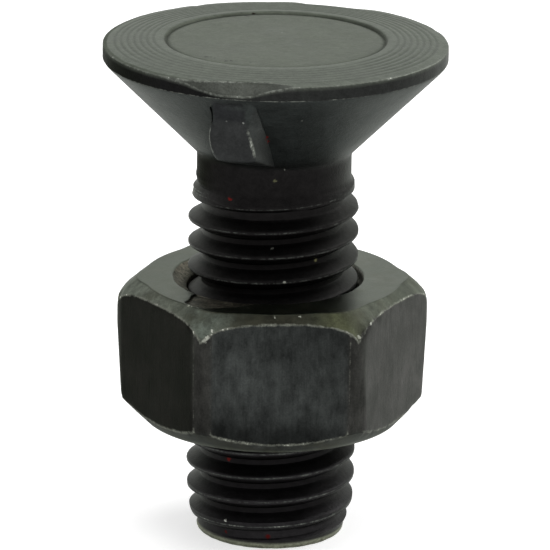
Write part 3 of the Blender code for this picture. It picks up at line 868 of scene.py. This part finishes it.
# Where it is rubbed off: the hexagon's edges, more so at the corners, the corners themselves, and the ledge's rim
at_corner = smooth_step(half_flat - 1.2, half_flat, along)
top_wear = bump_at(np.hypot(height - top_edge, radius - limit), 0.16 + 0.11 * at_corner)
foot_wear = bump_at(np.hypot(height - foot_edge, radius - limit), 0.19)
torn = np.degrees(turn_from(TAP_START, turned))
ledge_rim = bump_at(from_mouth - MOUTH_RADIUS - np.interp(torn, LEDGE_AT, LEDGE_WIDTH), 0.12) * (height > 18)
ledge_rim *= smooth_step(2, 5, torn) * smooth_step(17, 12, torn)
corner_wear = 0.55 * bump_at(along - half_flat + 0.72, 0.1) * flank
edge_wear = top_wear * (1.0 + 0.2 * at_corner) + 0.9 * ledge_rim + 0.98 * foot_wear + corner_wear

# Where the sheen is taken down: dry dirt on the dark flat, the mouth and the foot, and painted shade on the
# chamfer in front and on the top's left side
dull = np.maximum(0.32 * (which == DARK_FLAT) * flank, 0.22 * in_mouth)
dull = dull + 0.2 * on_chamfer * bump_at(turned - 0.35, 0.35) + 0.2 * on_foot
dull = dull + 0.1 * bump_at(turned + 1.3, 0.9) * top_ring
keep_values(
    nut, flank=flank, ground=top_ring & ~(flank | in_mouth | on_ledge), torn=in_mouth | on_ledge,
    edge_wear=np.clip(edge_wear, 0, 1.2), dull=dull,
)

# Black oxide on pressed hexagon steel: duller than the bolt's, with fine drawn marks down the flats, mottled
# patches, an olive stain of old oil on the chamfer, and rubbed edges.
pressed_steel = bare_material("Black_oxide_on_pressed_hexagon_steel")
tree = pressed_steel.node_tree
place = add(tree, "ShaderNodeTexCoord", take="Object")
mm = add(tree, "ShaderNodeVectorMath", {0: place, "Scale": 1 / MM}, operation="SCALE")
flank = add(tree, "ShaderNodeAttribute", take="Fac", attribute_name="flank")
drawn = add(tree, "ShaderNodeVectorMath", {0: mm, 1: (1.0, 1.0, 0.08)}, operation="MULTIPLY")
marks = add(tree, "ShaderNodeTexNoise", {"Vector": drawn, "Scale": 1 / 0.11, "Detail": 3.0, "Roughness": 0.65})
smudged = add(tree, "ShaderNodeVectorMath", {0: mm, 1: (1.0, 1.0, 0.55)}, operation="MULTIPLY")
patch = add(tree, "ShaderNodeTexNoise", {"Vector": smudged, "Scale": 1 / 0.9, "Detail": 6.0, "Roughness": 0.66})
wide_patch = add(tree, "ShaderNodeTexNoise", {"Vector": mm, "Scale": 1 / 4.5, "Detail": 2.0, "Roughness": 0.5})
grain = add(tree, "ShaderNodeTexNoise", {"Vector": mm, "Scale": 1 / 0.12, "Detail": 3.0, "Roughness": 0.6})
mottle = add(
    tree, "ShaderNodeMapRange", {"Value": patch, "From Min": 0.3, "From Max": 0.7, "To Min": 0.48, "To Max": 1.62}
)
wide = add(
    tree, "ShaderNodeMapRange", {"Value": wide_patch, "From Min": 0.35, "From Max": 0.65, "To Min": 0.82, "To Max": 1.2}
)
lines = add(
    tree, "ShaderNodeMapRange", {"Value": marks, "From Min": 0.3, "From Max": 0.7, "To Min": -0.13, "To Max": 0.13}
)
lines = add(tree, "ShaderNodeMath", {0: lines, 1: flank, 2: 1.0}, operation="MULTIPLY_ADD")
fleck = add(
    tree, "ShaderNodeMapRange", {"Value": grain, "From Min": 0.3, "From Max": 0.75, "To Min": 0.85, "To Max": 1.25}
)
level = add(tree, "ShaderNodeMath", {0: mottle, 1: wide}, operation="MULTIPLY")
level = add(tree, "ShaderNodeMath", {0: level, 1: lines}, operation="MULTIPLY")
level = add(tree, "ShaderNodeMath", {0: level, 1: fleck}, operation="MULTIPLY")
colour = add(tree, "ShaderNodeAttribute", take="Color", attribute_name="oxide")
colour = add(tree, "ShaderNodeVectorMath", {0: colour, "Scale": level}, operation="SCALE")

oil = add(tree, "ShaderNodeTexNoise", {"Vector": mm, "Scale": 1 / 1.9, "Detail": 5.0, "Roughness": 0.65})
stain = add(
    tree, "ShaderNodeMapRange", {"Value": oil, "From Min": 0.46, "From Max": 0.64, "To Min": 0.0, "To Max": 0.6}
)
off_flank = add(tree, "ShaderNodeMath", {0: 1.0, 1: flank}, operation="SUBTRACT")
stain = add(tree, "ShaderNodeMath", {0: stain, 1: off_flank}, operation="MULTIPLY")
colour = add(tree, "ShaderNodeMix", {0: stain, 6: colour, 7: linear("#33332a")}, take=2, data_type="RGBA")

colour = rub_off(tree, colour, mm, 1.1, 0.2, (("edge_wear", ("#62645c", 0.12, 0.27), ("#b9bbb1", 0.3, 0.36)),))

DINGS = [
    # The front left corner, then the chamfer in front, then the front right corner
    ((-1.26, -10.25, 17.15), 0.13, "#a2a49b"), ((-1.53, -10.5, 16.66), 0.2, "#9b9d93"),
    ((-1.7, -10.53, 16.47), 0.17, "#8a8c83"),
    ((4.23, -8.0, 18.0), 0.12, "#85877d"), ((2.67, -8.62, 18.03), 0.1, "#7b7d74"),
    ((8.04, -6.79, 16.6), 0.14, "#85877d"), ((8.56, -5.54, 17.2), 0.12, "#8f918a"),
    # The mouth's rim, then scratches on the top face
    ((-1.63, -6.74, 18.1), 0.13, "#66634f"), ((-0.84, -6.99, 18.11), 0.11, "#6d6a57"),
    ((0.48, -7.63, 18.15), 0.13, "#55554b"), ((-3.5, -8.27, 18.1), 0.12, "#8b8d82"),
    ((-3.2, -8.4, 18.1), 0.12, "#85877c"), ((-2.85, -8.5, 18.1), 0.11, "#8b8d82"),
]
colour = dab(tree, colour, mm, DINGS, 5.0, 0.4, 0.6)

# The mouth and the torn ledge are rough, with scraped and dirty spots
torn = add(tree, "ShaderNodeAttribute", take="Fac", attribute_name="torn")
scraped = add(tree, "ShaderNodeTexNoise", {"Vector": mm, "Scale": 1 / 0.28, "Detail": 4.0, "Roughness": 0.75})
scraped = add(
    tree, "ShaderNodeMapRange", {"Value": scraped, "From Min": 0.35, "From Max": 0.65, "To Min": 0.25, "To Max": 2.2}
)
scraped = add(tree, "ShaderNodeMix", {0: torn, 2: 1.0, 3: scraped}, data_type="FLOAT")
colour = add(tree, "ShaderNodeVectorMath", {0: colour, "Scale": scraped}, operation="SCALE")

ground = add(tree, "ShaderNodeAttribute", take="Fac", attribute_name="ground")
rough = add(
    tree, "ShaderNodeMapRange", {"Value": patch, "From Min": 0.3, "From Max": 0.7, "To Min": 0.5, "To Max": 0.6}
)
rough = add(tree, "ShaderNodeMath", {0: ground, 1: -0.17, 2: rough}, operation="MULTIPLY_ADD")
height_map = add(tree, "ShaderNodeMath", {0: marks, 1: flank, 2: grain}, operation="MULTIPLY_ADD")
relief = add(tree, "ShaderNodeBump", {"Height": height_map, "Strength": 0.4, "Distance": 0.02 * MM})
# The specular tint falls where dry dirt and painted shade take the sheen down
dull = add(tree, "ShaderNodeAttribute", take="Fac", attribute_name="dull")
sheen = add(tree, "ShaderNodeMix", {0: dull, 6: linear("#f0f4ee"), 7: linear("#5c5c58")}, take=2, data_type="RGBA")
surface = add(
    tree, "ShaderNodeBsdfPrincipled",
    {"Base Color": colour, "Roughness": rough, "Normal": relief, "Metallic": 1.0, "Specular Tint": sheen},
)
add(tree, "ShaderNodeOutputMaterial", {"Surface": surface})
finish(nut, pressed_steel)
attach(nut, "nut")
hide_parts("hex_nut")

# The studio, in metres: a white table under a pale sky and four softboxes, and the camera where the photograph
# was taken from. What the camera sees of table and sky is white, whatever light they give the bolt.
TABLE_WHITE = "#e6e6e6"
TABLE_GLOW = 0.55
TABLE_SIZE = 6.0
SKY_LIGHT = 0.45
LAMP_SIZE = 0.4
LAMP_REACH = 0.6

bpy.ops.object.select_all(action="DESELECT")
bpy.ops.mesh.primitive_plane_add(size=TABLE_SIZE)
table = bpy.context.object
table.name = "white_table"
white_table = bare_material("White_table")
world = bpy.data.worlds.new("Studio")
bpy.context.scene.world = world
world.use_nodes = True
world.node_tree.nodes.clear()
shown = []
for tree in (white_table.node_tree, world.node_tree):
    seen = add(tree, "ShaderNodeLightPath", take="Is Camera Ray")
    for ray in ("Is Glossy Ray", "Is Transmission Ray"):
        seen = add(tree, "ShaderNodeMath", {0: seen, 1: add(tree, "ShaderNodeLightPath", take=ray)}, operation="MAXIMUM")
    shown.append(seen)

tree = white_table.node_tree
matt = add(tree, "ShaderNodeBsdfDiffuse", {"Color": linear(TABLE_WHITE)})
glow = add(tree, "ShaderNodeMath", {0: shown[0], 1: TABLE_GLOW}, operation="MULTIPLY")
glow = add(tree, "ShaderNodeEmission", {"Strength": glow})
add(tree, "ShaderNodeOutputMaterial", {"Surface": add(tree, "ShaderNodeAddShader", {0: matt, 1: glow})})
table.data.materials.append(white_table)

tree = world.node_tree
level = add(tree, "ShaderNodeMapRange", {"Value": shown[1], "To Min": SKY_LIGHT, "To Max": 1.0})
sky = add(tree, "ShaderNodeBackground", {"Color": (1, 1, 1, 1), "Strength": level})
add(tree, "ShaderNodeOutputWorld", {"Surface": sky})

CAMERA_TURN = 16.0
CAMERA_RISE = 17.15
CAMERA_REACH = 0.350
CAMERA_ROLL = 0.73
CAMERA_LENS = 332.33
CAMERA_SHIFT = (0.0042, 0.01796)
AIM = Vector((0, 0, BOLT_LENGTH / 2 * MM))


def direction(turn_deg, rise_deg):
    """The way from the bolt to a place that is turned from the nib's side and raised, in degrees."""
    a, e = math.radians(turn_deg), math.radians(rise_deg)
    return Vector((math.sin(a) * math.cos(e), -math.cos(a) * math.cos(e), math.sin(e)))


for name, turn_deg, rise_deg, power in (
    ("right_softbox", 131, 35, 2.0),
    ("left_softbox", -84, 35, 0.35),
    ("top_softbox", 16, 80, 1.5),
    ("back_softbox", 196, 28, 0.3),
):
    lamp = bpy.data.lights.new(name, "AREA")
    lamp.shape = "SQUARE"
    lamp.size = LAMP_SIZE
    lamp.energy = power
    holder = bpy.data.objects.new(name, lamp)
    bpy.context.scene.collection.objects.link(holder)
    back = direction(turn_deg, rise_deg)
    holder.location = AIM + back * LAMP_REACH
    holder.rotation_euler = back.to_track_quat("Z", "Y").to_euler()

camera_data = bpy.data.cameras.new("Photo_camera")
camera_data.sensor_width = 36.0
camera_data.lens = CAMERA_LENS
camera_data.shift_x, camera_data.shift_y = CAMERA_SHIFT
camera_data.clip_start = 0.01
camera = bpy.data.objects.new("Photo_camera", camera_data)
bpy.context.scene.collection.objects.link(camera)
back = direction(CAMERA_TURN, CAMERA_RISE)
camera.location = AIM + back * CAMERA_REACH
camera.rotation_euler = back.to_track_quat("Z", "Y").to_euler()
camera.rotation_euler.rotate_axis("Z", math.radians(CAMERA_ROLL))
bpy.context.scene.camera = camera
bpy.context.scene.view_settings.view_transform = "Standard"
